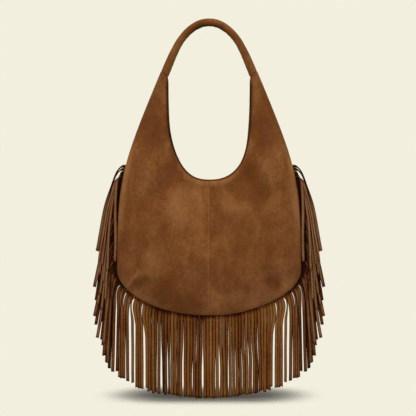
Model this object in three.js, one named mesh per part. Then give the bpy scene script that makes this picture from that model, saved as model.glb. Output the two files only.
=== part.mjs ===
// A soft suede shoulder bag: four suede panels sewn into a pouch with a deep U-shaped mouth,
// a rolled handle between its two shoulders, a cotton lining, and a long cut fringe in the outer seam.
// Millimetres, +Z up, front towards -Y. The origin is the underside of the handle at its top,
// which is where the bag hangs.

import * as THREE from "three";

// Clearance between two pieces that touch or are sewn together.
const CLEARANCE = 0.3;

// Rolled handle: a suede cover round a cotton cord, bent into an arch.
const HANDLE_DIAMETER = 15;
const HANDLE_WALL = 1.6;
const HANDLE_SPREAD = 167.4;
const HANDLE_DROP = 90.6;
const HANDLE_TOP_PULL = 45.3;
const HANDLE_FOOT_PULL = 42.2;
const STRAP_ANGLE = THREE.MathUtils.degToRad(22.7);
const FOOT_SLANT = THREE.MathUtils.degToRad(38.5);
const FOOT_SLANT_LENGTH = 26;

// Suede panels, and the turned hem along the mouth.
const PANEL_THICKNESS = 1.6;
const HEM_WIDTH = 10;
const HEM_SHARE_LIMIT = 0.3;
const TIP_WIDTH = 15;
const TIP_ROUND_SHARE = 0.16;
const TONGUE_LENGTH = 12;

// Outer seam of the pouch.
const BODY_WIDTH = 347;
const BODY_DROP = 548.4;
const HIP_RISE = 86;
const STRAP_PULL = 193;
const HIP_PULL = 176;
const CORNER_PULL = 35.5;
const BASE_PULL = 113;

// Mouth of the pouch, a deep U.
const MOUTH_DROP = 289.3;
const MOUTH_FLARE = -6;
const MOUTH_SIDE_PULL = 68;
const MOUTH_BASE_PULL = 89.4;

// Inner half depth of the pouch, at its belly, at the bottom of its mouth and up in its shoulders.
const BELLY_DEPTH = 38;
const LIP_DEPTH = 15;
const SHOULDER_DEPTH = 4;

// Cotton lining, a smaller pouch inside the suede one.
const LINING_THICKNESS = 0.8;
const LINING_INSET = 11;
const LINING_EASE = 1.4;
const LINING_TOP_SHARE = 0.2;

// Fringe: lengths of suede cut into strips below an uncut heading that is caught in the seam.
const FRINGE_SEAM = 410;
const FRINGE_SECTIONS = ["shoulder", "side", "corner", "base"];
const HEADING_WIDTH = 8;
const STRIP_WIDTH = 5.8;
const STRIP_GAP = 0.24;
const STRIP_THICKNESS = 1.2;
const STRIP_LENGTH_BASE = 156;
const STRIP_LENGTH_SIDE = 176;
const STRIP_LENGTH_SPREAD = 6;
const STRIP_STAND_LENGTH = 3;
const STRIP_BEND_LENGTH = 8;
const STRIP_BEND_CLOSE_LENGTH = 5;
const STRIP_BEND_CORNER_LENGTH = 14;
const STRIP_LEAN = THREE.MathUtils.degToRad(10.5);
const LEAN_FADE_START = 130;
const LEAN_FADE_END = 260;
const STRIP_SWAY = THREE.MathUtils.degToRad(1.6);
const STRIP_SPLAY_LENGTH = 8;
const LAYER_GAP = 0.4;

// Number of steps in each direction of the faceted surfaces.
const PANEL_STEPS_ACROSS = 6;
const PANEL_STEPS_ALONG = 15;
const LINING_STEPS_ACROSS = 5;
const LINING_STEPS_ALONG = 9;
const HANDLE_STEPS = 20;
const HANDLE_SIDES = 12;
const CORE_SIDES = 8;
const PATH_STEP = 0.5;

const suede = new THREE.MeshStandardMaterial({ color: 0x74471f, roughness: 0.95, metalness: 0 });
const suedeStrip = new THREE.MeshStandardMaterial({ color: 0x6a3f1d, roughness: 0.95, metalness: 0 });
const liningCotton = new THREE.MeshStandardMaterial({ color: 0x4a3524, roughness: 0.9, metalness: 0 });
const cordCotton = new THREE.MeshStandardMaterial({ color: 0xd8cdb8, roughness: 0.9, metalness: 0 });

// Small helpers.

const lerp = THREE.MathUtils.lerp;
const smoothstep = THREE.MathUtils.smoothstep;
const range = (count) => Array.from({ length: count }, (_, i) => i);

// A number from 0 to 1 that looks random and is the same in every run.
function scatter(index, salt) {
  const value = Math.sin(index * 12.9898 + salt * 78.233) * 43758.5453;
  return value - Math.floor(value);
}

// Collects four-sided faces and turns them into a closed geometry whose faces point out.
class Skin {
  constructor() {
    this.triangles = [];
  }

  quad(a, b, c, d) {
    this.triangles.push([a, b, c], [a, c, d]);
  }

  // Joins two rows of points, one quad for each step along them.
  band(rowA, rowB) {
    for (let i = 0; i + 1 < rowA.length; i += 1) {
      this.quad(rowA[i], rowA[i + 1], rowB[i + 1], rowB[i]);
    }
  }

  geometry() {
    const volume = this.triangles.reduce(
      (sum, [a, b, c]) => sum + a.dot(new THREE.Vector3().crossVectors(b, c)),
      0,
    );
    const points = this.triangles.flatMap(([a, b, c]) => (volume < 0 ? [a, c, b] : [a, b, c]));
    const made = new THREE.BufferGeometry().setFromPoints(points);
    made.computeVertexNormals();
    return made;
  }
}

// Closed sheet between two grids of points that have the same rows and columns.
function sheetGeometry(outside, inside) {
  const skin = new Skin();
  const column = (grid, index) => grid.map((row) => row[index]);
  const last = outside.length - 1;
  const end = outside[0].length - 1;
  for (let i = 0; i < last; i += 1) {
    skin.band(outside[i], outside[i + 1]);
    skin.band(inside[i + 1], inside[i]);
  }
  skin.band(inside[0], outside[0]);
  skin.band(outside[last], inside[last]);
  skin.band(column(outside, 0), column(inside, 0));
  skin.band(column(inside, end), column(outside, end));
  return skin.geometry();
}

function named(name, geometry, material) {
  const mesh = new THREE.Mesh(geometry, material);
  mesh.name = name;
  return mesh;
}

// Driving curves of the right half, in the XZ plane.

const strapDown = new THREE.Vector2(Math.sin(STRAP_ANGLE), -Math.cos(STRAP_ANGLE));
const strapAcross = new THREE.Vector2(Math.cos(STRAP_ANGLE), Math.sin(STRAP_ANGLE));
const tipAcross = new THREE.Vector2(Math.cos(FOOT_SLANT), Math.sin(FOOT_SLANT));
const along = (start, direction, distance) => start.clone().addScaledVector(direction, distance);

const handleFoot = new THREE.Vector2(HANDLE_SPREAD / 2, -HANDLE_DROP);
const handleTop = new THREE.Vector2(0, HANDLE_DIAMETER / 2);
const handleCurve = new THREE.CubicBezierCurve(
  handleTop,
  new THREE.Vector2(HANDLE_TOP_PULL, handleTop.y),
  along(handleFoot, strapDown, -HANDLE_FOOT_PULL),
  handleFoot,
);

const tipOuter = along(handleFoot, tipAcross, TIP_WIDTH / 2);
const tipInner = along(handleFoot, tipAcross, -TIP_WIDTH / 2);

const hip = new THREE.Vector2(BODY_WIDTH / 2, HIP_RISE - BODY_DROP);
const bagBottom = new THREE.Vector2(0, -BODY_DROP);
const sideCurve = new THREE.CubicBezierCurve(
  tipOuter,
  along(tipOuter, strapDown, STRAP_PULL),
  new THREE.Vector2(hip.x, hip.y + HIP_PULL),
  hip,
);
const cornerCurve = new THREE.CubicBezierCurve(
  hip,
  new THREE.Vector2(hip.x, hip.y - CORNER_PULL),
  new THREE.Vector2(BASE_PULL, bagBottom.y),
  bagBottom,
);
const outerSeam = new THREE.CurvePath();
outerSeam.add(sideCurve);
outerSeam.add(cornerCurve);

const mouthBottom = new THREE.Vector2(0, -MOUTH_DROP);
const mouthCurve = new THREE.CubicBezierCurve(
  tipInner,
  new THREE.Vector2(tipInner.x + MOUTH_FLARE, tipInner.y - MOUTH_SIDE_PULL),
  new THREE.Vector2(MOUTH_BASE_PULL, mouthBottom.y),
  mouthBottom,
);

const seamLength = outerSeam.getLength();
const fringeTopShare = 1 - FRINGE_SEAM / seamLength;

// Pouch surface.
// across runs from the mouth (0) to the outer seam (1), down from the shoulder tip (0) to the centre seam (1).

// Half the gap between the two panels at the outer seam: wider where the fringe heading is caught between them.
function seamHalfGap(down) {
  const plain = CLEARANCE / 2;
  const holding = STRIP_THICKNESS / 2 + CLEARANCE;
  const leadIn = 0.04;
  return lerp(plain, holding, smoothstep(down, fringeTopShare - 2 * leadIn, fringeTopShare - leadIn));
}

// Half depth of the pouch, before the panels round over to meet at the seam.
function fullness(across, down) {
  const lip = lerp(SHOULDER_DEPTH, LIP_DEPTH, smoothstep(down, 0.15, 1));
  const belly = lerp(SHOULDER_DEPTH, BELLY_DEPTH, smoothstep(down, 0.05, 0.8));
  return lerp(lip, belly, smoothstep(across, 0, 0.75));
}

const roundOver = (across) => Math.sqrt(Math.max(0, 1 - across ** 4));

// How far the shoulder has opened: at its tip (0) it is a tube as round as the handle, lower down (1) it is open.
const opened = (down) => smoothstep(down, 0, TIP_ROUND_SHARE);

const tubeArch = (across) => Math.sqrt(Math.max(0, 1 - (2 * across - 1) ** 2));
const tubeRadius = HANDLE_DIAMETER / 2 - PANEL_THICKNESS;

// The hem is pared away to nothing where the shoulder closes into a tube.
const hemThickness = (down) =>
  PANEL_THICKNESS * smoothstep(down, 0.7 * TIP_ROUND_SHARE, 1.5 * TIP_ROUND_SHARE);

// Line across a panel from the mouth to the seam. A margin that runs beside the mouth or the seam
// takes up more of this line where the line meets that edge at a slant.
function spanAt(down) {
  const mouth = mouthCurve.getPointAt(down);
  const seam = outerSeam.getPoint(down);
  const length = mouth.distanceTo(seam);
  const line = seam.clone().sub(mouth).normalize();
  const hemSlope = Math.abs(line.cross(mouthCurve.getTangentAt(down)));
  const seamSlope = Math.abs(line.cross(outerSeam.getTangent(down)));
  return {
    mouth,
    seam,
    hemShare: (margin) => Math.min(HEM_SHARE_LIMIT, margin / hemSlope / length),
    seamShare: (margin) => 1 - margin / seamSlope / length,
  };
}

// Inner face of the suede, as a point whose y is the half depth.
function suedeFace(across, down) {
  const { mouth, seam } = spanAt(down);
  const flat = mouth.clone().lerp(seam, across);
  const open = fullness(across, down) * roundOver(across);
  const depth = seamHalfGap(down) + lerp(tubeRadius * tubeArch(across), open, opened(down));
  return new THREE.Vector3(flat.x, depth, flat.y);
}

// Outer face of the lining: the same pouch, drawn in to a seam of its own.
function liningFace(across, down) {
  const { mouth, seam, seamShare } = spanAt(down);
  const flat = mouth.clone().lerp(seam, across);
  const drawn = Math.min(1, across / seamShare(LINING_INSET));
  const room = fullness(across, down) - CLEARANCE - LINING_EASE;
  return new THREE.Vector3(flat.x, CLEARANCE / 2 + room * roundOver(drawn), flat.y);
}

// Point of a face moved along the face's normal, outwards where distance is positive.
function offsetPoint(face, across, down, distance) {
  const step = 1e-4;
  const across0 = Math.max(0, across - step);
  const down0 = Math.max(0, down - step);
  const alongAcross = face(across, down).sub(face(across0, down));
  const alongDown = face(across, down).sub(face(across, down0));
  if (across0 === across) alongAcross.copy(face(step, down).sub(face(0, down)));
  if (down0 === down) alongDown.copy(face(across, step).sub(face(across, 0)));
  const normal = alongAcross.cross(alongDown).normalize();
  return face(across, down).addScaledVector(normal, distance);
}

// Steps that lie closer together round the tight lower corner of the seam.
function downSteps(count, start) {
  const corner = 0.78;
  const crowding = 0.5;
  const bend = (w) => w - (crowding * Math.sin(2 * Math.PI * (w - corner))) / (2 * Math.PI);
  return range(count + 1).map((i) => {
    const share = (bend(i / count) - bend(0)) / (bend(1) - bend(0));
    return lerp(start, 1, share);
  });
}

// Steps that lie closer together towards the seam, where the surface rounds over.
const acrossSteps = (count, start, end) =>
  range(count + 1).map((i) => lerp(start, end, Math.sin(((Math.PI / 2) * i) / count)));

const inHalf = (point, front, right) =>
  new THREE.Vector3(right ? point.x : -point.x, front ? -point.y : point.y, point.z);

// Suede panels: a quarter of the pouch each, with a turned hem and a tongue that enters the handle.

const handleBore = HANDLE_DIAMETER - 2 * HANDLE_WALL;
const footSlope = Math.tan(FOOT_SLANT - STRAP_ANGLE);
const tongueDepth = CLEARANCE / 2 + PANEL_THICKNESS;
const tongueRadius = (handleBore / 2) * Math.cos(Math.PI / HANDLE_SIDES) - 2 * CLEARANCE;
const tongueWidth = 2 * Math.sqrt(tongueRadius ** 2 - tongueDepth ** 2);

function tongueRow(stepCount, rise) {
  const centre = along(handleFoot, strapDown, -rise);
  return range(stepCount).map((i) => {
    const side = (i / (stepCount - 1) - 0.5) * tongueWidth;
    const flat = along(along(centre, strapAcross, side), strapDown, -side * footSlope);
    return (depth) => new THREE.Vector3(flat.x, depth, flat.y);
  });
}

// End of the shoulder, square to the panels and along the slant of the handle's foot.
function tipPoint(across, thickness) {
  const flat = along(handleFoot, tipAcross, (2 * across - 1) * (TIP_WIDTH / 2 + thickness));
  const depth = CLEARANCE / 2 + (tubeRadius + thickness) * tubeArch(across);
  return new THREE.Vector3(flat.x, depth, flat.y);
}

function panelGeometry(front, right) {
  const hemStep = 0.002;
  const outside = [];
  const inside = [];
  for (const down of downSteps(PANEL_STEPS_ALONG, 0)) {
    const hemEnd = spanAt(down).hemShare(HEM_WIDTH);
    const plain = acrossSteps(PANEL_STEPS_ACROSS, hemEnd + hemStep, 1);
    const steps = [0, 0.3 * hemEnd, hemEnd, ...plain];
    const hemmed = (i) => (i < 3 ? hemThickness(down) : 0);
    const moved = (across, distance) =>
      down === 0 ? tipPoint(across, distance) : offsetPoint(suedeFace, across, down, distance);
    outside.push(steps.map((across) => moved(across, PANEL_THICKNESS)));
    inside.push(steps.map((across, i) => moved(across, -hemmed(i))));
  }
  const stepCount = outside[0].length;
  for (const rise of [CLEARANCE / 3, TONGUE_LENGTH]) {
    const row = tongueRow(stepCount, rise);
    outside.unshift(row.map((at) => at(tongueDepth)));
    inside.unshift(row.map((at) => at(CLEARANCE / 2)));
  }
  const placed = (grid) => grid.map((row) => row.map((point) => inHalf(point, front, right)));
  return sheetGeometry(placed(outside), placed(inside));
}

function panels() {
  const group = new THREE.Group();
  for (const front of [true, false]) {
    for (const right of [false, true]) {
      const name = `${front ? "front" : "back"}_${right ? "right" : "left"}_panel`;
      const panel = named(name, panelGeometry(front, right), suede);
      panel.position.x = ((right ? 1 : -1) * CLEARANCE) / 2;
      group.add(panel);
    }
  }
  return group;
}

// Lining: one cotton sheet behind each side of the pouch, hung from the hem.

function liningGeometry(front) {
  const half = downSteps(LINING_STEPS_ALONG, LINING_TOP_SHARE);
  const rowFor = (down, right, distance) => {
    const { hemShare, seamShare } = spanAt(down);
    const start = hemShare(HEM_WIDTH + 2 * CLEARANCE);
    const end = seamShare(LINING_INSET);
    return acrossSteps(LINING_STEPS_ACROSS, start, end).map((across) =>
      inHalf(offsetPoint(liningFace, across, down, distance), front, right),
    );
  };
  const grid = (distance) => [
    ...half.map((down) => rowFor(down, true, distance)),
    ...half.slice(0, -1).reverse().map((down) => rowFor(down, false, distance)),
  ];
  return sheetGeometry(grid(0), grid(-LINING_THICKNESS));
}

function lining() {
  const group = new THREE.Group();
  group.add(named("front_lining", liningGeometry(true), liningCotton));
  group.add(named("back_lining", liningGeometry(false), liningCotton));
  return group;
}

// Handle: rings along the arch. Near each foot the rings slant to lie along the shoulder tip.

function handleRing(share, radius, sides, footGap) {
  const right = share >= 0;
  const reach = handleCurve.getLength();
  const at = Math.min(Math.abs(share), 1 - footGap / reach);
  const centre = handleCurve.getPointAt(at);
  const tangent = handleCurve.getTangentAt(at);
  const across = new THREE.Vector2(-tangent.y, tangent.x);
  const nearFoot = Math.max(0, 1 - (reach * (1 - at)) / FOOT_SLANT_LENGTH);
  const slant = Math.tan((FOOT_SLANT - STRAP_ANGLE) * nearFoot);
  return range(sides + 1).map((i) => {
    const angle = (2 * Math.PI * (i % sides)) / sides;
    const side = radius * Math.cos(angle);
    const flat = along(along(centre, across, side), tangent, -side * slant);
    return new THREE.Vector3(right ? flat.x : -flat.x, radius * Math.sin(angle), flat.y);
  });
}

function handleRings(radius, sides, footGap) {
  return range(HANDLE_STEPS + 1).map((i) =>
    handleRing((2 * i) / HANDLE_STEPS - 1, radius, sides, footGap),
  );
}

function handleCoverGeometry() {
  const outer = handleRings(HANDLE_DIAMETER / 2, HANDLE_SIDES, CLEARANCE);
  const inner = handleRings(handleBore / 2, HANDLE_SIDES, CLEARANCE);
  const skin = new Skin();
  for (let i = 0; i < HANDLE_STEPS; i += 1) {
    skin.band(outer[i], outer[i + 1]);
    skin.band(inner[i + 1], inner[i]);
  }
  skin.band(inner[0], outer[0]);
  skin.band(outer[HANDLE_STEPS], inner[HANDLE_STEPS]);
  return skin.geometry();
}

function handleCoreGeometry() {
  const radius = (handleBore / 2) * Math.cos(Math.PI / HANDLE_SIDES) - CLEARANCE;
  const rings = handleRings(radius, CORE_SIDES, TONGUE_LENGTH + radius);
  const skin = new Skin();
  rings.slice(1).forEach((ring, i) => skin.band(rings[i], ring));
  for (const [ring, next] of [[rings[HANDLE_STEPS], 1], [rings[0], -1]]) {
    for (let i = 1; i + 1 < CORE_SIDES; i += 1) {
      const pair = next > 0 ? [ring[i], ring[i + 1]] : [ring[i + 1], ring[i]];
      skin.triangles.push([ring[0], ...pair]);
    }
  }
  return skin.geometry();
}

function handle() {
  const group = new THREE.Group();
  group.add(named("handle_cover", handleCoverGeometry(), suede));
  group.add(named("handle_core", handleCoreGeometry(), cordCotton));
  return group;
}

// Fringe.
// Angles are measured from straight down, positive away from the bag's centre.

const stripPitch = STRIP_WIDTH + STRIP_GAP;
const stripsPerSection = Math.max(2, Math.round(FRINGE_SEAM / FRINGE_SECTIONS.length / stripPitch));

// Strips hang in an odd number of layers, enough that two strips of one layer never cross.
const layersNeeded = (STRIP_WIDTH + STRIP_GAP) / (stripPitch * Math.sin(STRIP_LEAN));
const layerCount = 2 * Math.ceil(layersNeeded / 2) + 1;
const layerStride = (layerCount - 1) / 2;
const layerOf = (index) => ((index * layerStride) % layerCount) - layerStride;
const layerDepth = (layer) => layer * (STRIP_THICKNESS + LAYER_GAP);

// Length in which a strip bends over. The front and back layers hang closest to the pouch,
// and the middle layer stands furthest out from it.
const layerBend = (layer) =>
  lerp(STRIP_BEND_LENGTH, STRIP_BEND_CLOSE_LENGTH, Math.abs(layer) / layerStride);

// Angle of the seam at a height, above the hip. Strips that hang beside the pouch are pushed out by that much.
const sideSamples = range(121).map((i) => {
  const tangent = sideCurve.getTangentAt(i / 120);
  return { z: sideCurve.getPointAt(i / 120).y, angle: Math.atan2(tangent.x, -tangent.y) };
});

function seamAngleAt(z) {
  const below = sideSamples.findIndex((sample) => sample.z <= z);
  return below < 0 ? 0 : sideSamples[below].angle;
}

function seamFrame(seamShare) {
  const root = outerSeam.getPoint(seamShare);
  const tangent = outerSeam.getTangent(seamShare);
  return { root, normal: new THREE.Vector2(-tangent.y, tangent.x) };
}

// Stations of one strip: its middle, its direction and its layer depth at chosen distances from the seam.
function stripStations(seamShare, index) {
  const { root, normal } = seamFrame(seamShare);
  const rootAngle = Math.atan2(normal.x, -normal.y);
  const sideways = Math.max(0, Math.sin(Math.min(rootAngle, Math.PI / 2)));
  const sway = (2 * scatter(index, 1) - 1) * STRIP_SWAY * (1 - sideways);
  const fromTop = (seamShare - fringeTopShare) * seamLength;
  const lean = STRIP_LEAN * (1 - smoothstep(fromTop, LEAN_FADE_START, LEAN_FADE_END)) + sway;
  const trim = (scatter(index, 2) - 0.5) * STRIP_LENGTH_SPREAD;
  const length = lerp(STRIP_LENGTH_BASE, STRIP_LENGTH_SIDE, sideways) + trim;
  const standing = PANEL_THICKNESS + STRIP_THICKNESS * 0.75;
  const slanting = Math.max(0, Math.sin(2 * rootAngle));
  const layer = layerOf(index);
  const bend = lerp(layerBend(layer), STRIP_BEND_CORNER_LENGTH, slanting);
  const bent = [0.5, 1, 2.4].map((share) => STRIP_STAND_LENGTH + share * bend);
  const straight = [STRIP_SPLAY_LENGTH];
  const stops = [standing, ...(sideways > 0.35 ? [...bent, length * 0.5] : straight), length];

  const stations = [];
  const point = root.clone();
  for (let travelled = 0; stations.length < stops.length; travelled += PATH_STEP) {
    const hang = lean + (sideways > 0 ? seamAngleAt(point.y) : 0);
    const relaxed = 1 - Math.exp(-Math.max(0, travelled - STRIP_STAND_LENGTH) / bend);
    const angle = lerp(rootAngle, hang, relaxed);
    if (travelled >= stops[stations.length]) {
      const splay = smoothstep(travelled, standing, STRIP_SPLAY_LENGTH);
      const acrossStrip = new THREE.Vector2(Math.cos(angle), Math.sin(angle));
      stations.push({ point: point.clone(), acrossStrip, depth: layerDepth(layer) * splay });
    }
    point.x += Math.sin(angle) * PATH_STEP;
    point.y -= Math.cos(angle) * PATH_STEP;
  }
  return stations;
}

// One length of fringe: the heading along the seam, and its strips.
function fringeGeometry(sectionIndex, right) {
  const skin = new Skin();
  const half = STRIP_THICKNESS / 2;
  const section = FRINGE_SEAM / FRINGE_SECTIONS.length;
  const startAt = seamLength - FRINGE_SEAM + sectionIndex * section + CLEARANCE / 2;
  const endAt = startAt + section - CLEARANCE;
  const place = (flat, depth) => new THREE.Vector3(right ? flat.x : -flat.x, depth, flat.y);
  const edge = (flat, depth = 0) => [place(flat, depth - half), place(flat, depth + half)];
  const shareAt = (i) => lerp(startAt, endAt, i / stripsPerSection) / seamLength;

  const frames = range(stripsPerSection + 1).map((i) => seamFrame(shareAt(i)));
  const roots = frames.map(({ root }) => edge(root));
  const tops = frames.map(({ root, normal }) => edge(along(root, normal, -HEADING_WIDTH)));

  for (let i = 0; i < stripsPerSection; i += 1) {
    skin.quad(tops[i][0], tops[i + 1][0], roots[i + 1][0], roots[i][0]);
    skin.quad(tops[i + 1][1], tops[i][1], roots[i][1], roots[i + 1][1]);
    skin.quad(tops[i][1], tops[i + 1][1], tops[i + 1][0], tops[i][0]);

    let upper = roots[i];
    let lower = roots[i + 1];
    const index = sectionIndex * stripsPerSection + i;
    for (const { point, acrossStrip, depth } of stripStations(shareAt(i + 0.5), index)) {
      const nextUpper = edge(along(point, acrossStrip, STRIP_WIDTH / 2), depth);
      const nextLower = edge(along(point, acrossStrip, -STRIP_WIDTH / 2), depth);
      skin.quad(upper[0], lower[0], nextLower[0], nextUpper[0]);
      skin.quad(lower[1], upper[1], nextUpper[1], nextLower[1]);
      skin.quad(upper[1], upper[0], nextUpper[0], nextUpper[1]);
      skin.quad(lower[0], lower[1], nextLower[1], nextLower[0]);
      upper = nextUpper;
      lower = nextLower;
    }
    skin.quad(upper[1], upper[0], lower[0], lower[1]);
  }
  const last = stripsPerSection;
  skin.quad(tops[0][1], tops[0][0], roots[0][0], roots[0][1]);
  skin.quad(tops[last][0], tops[last][1], roots[last][1], roots[last][0]);
  return skin.geometry();
}

function fringe() {
  const group = new THREE.Group();
  for (const right of [false, true]) {
    FRINGE_SECTIONS.forEach((part, i) => {
      const name = `fringe_${right ? "right" : "left"}_${part}`;
      group.add(named(name, fringeGeometry(i, right), suedeStrip));
    });
  }
  return group;
}

const bag = new THREE.Group();
bag.add(panels(), lining(), handle(), fringe());

export default bag;
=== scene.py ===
"""A fringed suede shoulder bag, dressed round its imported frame.

Lengths are millimetres until a mesh is made, and angles are radians. The front faces -Y,
+X is to the right as seen from the front, +Z is up, and the origin is the underside of the
handle at the top of its arch.
"""

from types import SimpleNamespace

import bpy
import numpy as np
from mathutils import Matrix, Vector


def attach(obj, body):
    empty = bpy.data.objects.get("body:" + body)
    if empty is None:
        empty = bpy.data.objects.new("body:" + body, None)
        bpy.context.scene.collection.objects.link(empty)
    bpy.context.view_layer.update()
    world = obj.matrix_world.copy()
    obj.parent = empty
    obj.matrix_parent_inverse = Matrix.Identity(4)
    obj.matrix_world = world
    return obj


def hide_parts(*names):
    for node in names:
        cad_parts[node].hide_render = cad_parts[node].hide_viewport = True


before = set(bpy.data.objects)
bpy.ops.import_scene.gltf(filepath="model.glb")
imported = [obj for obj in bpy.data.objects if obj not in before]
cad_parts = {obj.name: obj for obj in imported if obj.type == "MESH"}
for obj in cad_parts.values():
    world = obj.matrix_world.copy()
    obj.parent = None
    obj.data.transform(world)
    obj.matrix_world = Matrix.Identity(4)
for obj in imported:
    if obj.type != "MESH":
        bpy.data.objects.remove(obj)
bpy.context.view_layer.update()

MM = 0.001
BODY = "root"

# Handle.
HANDLE_RADIUS = 7.5
HANDLE_ROOM = 0.1
HANDLE_SWELL = 0.8
HANDLE_WAIST = 0.4
HANDLE_TURNS = 56
HANDLE_STATIONS = 241
HANDLE_SEAM = np.radians(172.0)
GROOVE_DEPTH = 0.5
GROOVE_SHOULDER = 0.25
WRINKLE = 0.16
HANDLE_SLACK = 0.12
TUCK = 0.5
TURNED_IN = (1.4, 0.2)
# Painted shade on the handle's underside and outer side; its limbs a little lighter.
UNDERSIDE_PAINTED_SHADE = 1.4
LIMB_LIGHTENING = 0.16
OUTSIDE_PAINTED_SHADE = 0.3
LEFT_JOINT_DARK = 0.9
RIGHT_JOINT_DARK = 0.45
HANDLE_FOOT = np.array([83.7, -90.6])
HANDLE_TOP_PULL = 45.3
HANDLE_FOOT_PULL = 42.2
STRAP_ANGLE = np.radians(22.7)
FOOT_SLANT = np.radians(38.5)
FOOT_SLANT_LENGTH = 26.0

# Suede panels.
SUEDE = 1.6
HEM_WIDTH = 10.0
TIP_WIDTH = 15.0
TIP_ROUND_SHARE = 0.16
HIP = np.array([173.5, -462.4])
BOTTOM = np.array([0.0, -548.4])
STRAP_PULL = 193.0
HIP_PULL = 176.0
CORNER_PULL = 35.5
BASE_PULL = 113.0
MOUTH_BOTTOM = np.array([0.0, -289.3])
MOUTH_FLARE = -6.0
MOUTH_SIDE_PULL = 68.0
MOUTH_BASE_PULL = 89.4
MOUTH_SHIFT = 2.8
BELLY_DEPTH = 38.0
LIP_DEPTH = 15.0
SHOULDER_DEPTH = 4.0
SEWN_HALF_GAP = 0.15
SEAM_HALF_GAP = 0.9
LIP_RADIUS = 1.2
LIP_INSET_SIDE = 3.6
LIP_INSET_MIDDLE = 1.5
LIP_TURNS = np.radians([30, 60, 90, 120, 150])
EDGE_ROUND = 0.5
EDGE_TURNS = LIP_TURNS[::2]
START_MOST = 0.3
PANEL_ROWS = 76
PANEL_COLUMNS = 150
CENTRE_COLUMNS = np.array([9, 6.5, 4.8, 3.6, 2.7, 2.0, 1.4, 0.9, 0.45, 0]) / 600
LAP_HEIGHT = 0.5
LAP_GROOVE = 0.55

# Slack of the hanging bag.
ARCH_SAG = 1.1
ARCH_SPREAD = 0.8
MOUTH_SAG_LEFT = 1.9
MOUTH_SAG_RIGHT = 0.9
BASE_LIFT = 0.9
CORNER_LIFT = 2.4

# Lining.
LINING = 0.8
LINING_INSET = 11.0
LINING_EASE = 1.7
LINING_TOP_SHARE = 0.2
LINING_ROWS = 44
LINING_COLUMNS = 90
HEM_CLEARANCE = 0.8

# Fringe.
FRINGE_SEAM = 410.0
SECTIONS = ("shoulder", "side", "corner", "base")
SECTION_LENGTH = FRINGE_SEAM / len(SECTIONS)
SECTION_STRIPS = 17
STRIP_PITCH = SECTION_LENGTH / SECTION_STRIPS
STATIONS = 46
SEED = 11
HEADING = 8.0
HEADING_PAST = 1.3
HEADING_GAP = 0.2
HEADING_THINNER = 0.05
STRIP_WIDTH = 6.3
STRIP = 1.3
# Ten points round a strip's section, one unit wide and thick: a bar with worn corners.
STRIP_ACROSS = np.array([-0.5, -0.3, 0.0, 0.3, 0.5, 0.5, 0.3, 0.0, -0.3, -0.5])
STRIP_THROUGH = np.array([-0.2, -0.45, -0.5, -0.45, -0.2, 0.2, 0.45, 0.5, 0.45, 0.2])
STRIP_LENGTH_BASE = 161.5
STRIP_LENGTH_SIDE = 175.0
UNEVEN_SIDE = 4.5
UNEVEN_BASE = 1.2
STATION_SPACING = 1.35
ROOT_INSIDE = 2.0
ROOT_RUN = 8.0
STRIP_STAND = 3.0
BEND_SIDE = 7.9
BEND_CORNER = 14.0
BEND_BASE = 4.0
BEND_TOP = 8.6
BEND_CLOSE = 8.4
BEND_TUCKED = 5.0
LEAN_TOP = np.radians(9.4)
LEAN_SIDE = np.radians(11.5)
LEAN_FADE = (130.0, 260.0)
TOP_STRIPS = 2
FAN_STRIPS = 5
FAN_STEP = 0.9
FAN_DEEPEST = 12.0
OUTER_BEHIND = 3.4
BEHIND_FAN = 7.0
HUG_LEAN = np.radians(0.7)
SECOND_REACH = 0.86
OUTER_STRIPS = (0, 1, 12, 21, 27, 30, 32, 35, 37)
LAYER_FADE = (180.0, 300.0)
LENGTH_FADE = (235.0, 365.0)
GOLDEN = 0.618
SIDE_DEPTH = 6.5
BASE_DEPTH = 1.4
PARTED_SHARE = 0.36
CORNER_SHARE = 0.6
PARTED_LEAST = 0.8
PARTED_MOST = 3.4
CORNER_MOST = 7.2
PARTING_BASE = 56.0
PARTING_CORNER = 8.0
PARTING_RUN_BASE = 60.0
PARTING_RUN_CORNER = 45.0
EDGEWISE_SHARE = 0.12
EDGEWISE_TURN = 58
HOOKED_FROM = np.radians([19, 31])
TURNED_ARCH = 70
TURNED_CLOSE = 78
TURNED_HOOK = 64
TURNED_OTHER = 8
FLARE_CORNER = 0.16
FLARE_SIDE = 0.35
PHASES = 6.28

# Nap of the fringe with painted light and shade, lighter above 0 and darker below, and its dye.
FRONT_PAINTED_LIGHT = 0.28
OUTER_TONE = -0.05
BEHIND_PAINTED_SHADE = -0.72
BEHIND_TIP_LIGHT = 0.2
FRONT_SHELTER = 0.7
OUTER_SHELTER = 0.3
HIP_SHADE = 0.17
ARCH_SHADE = 0.4
RIGHT_LIGHT = 0.04
# Painted shade at the roots, under the pouch's edge.
ROOT_ARCH = -0.35
ROOT_SIDE = -1.5
ROOT_CORNER = -0.3
ROOT_BASE = -0.9
# Painted light on the hooked strips at the corner.
HOOK_LIGHT = 0.4
TIP_DARK = -0.5
# Cut edges darker, partly their own colour and partly painted shade between strips.
EDGE_PLACES = (0.0, 0.3, 0.5)
EDGE_WEAR_AND_SHADE = (0.2, -0.1, -1.2)
EDGES_LIGHTER_SHARE = 0.6
# Painted shade on the heading, under the pouch's edge.
HEADING_PAINTED_SHADE = -1.2
BASE_DYE = 0.9


# Small helpers.


def smooth(value, low, high):
    """Smoothstep: 0 at low, 1 at high, with level ends."""
    t = np.clip((value - low) / (high - low), 0.0, 1.0)
    return t * t * (3.0 - 2.0 * t)


def fade(value, low, high):
    """The other way: 1 at low, 0 at high."""
    return 1.0 - smooth(value, low, high)


def mix(a, b, share):
    """Straight blend from a to b."""
    return a + (b - a) * share


def bell(value, centre, width):
    """Bell curve, 1 at its centre: exponential of minus the square of the distance in widths."""
    return np.exp(-(((value - centre) / width) ** 2))


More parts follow.
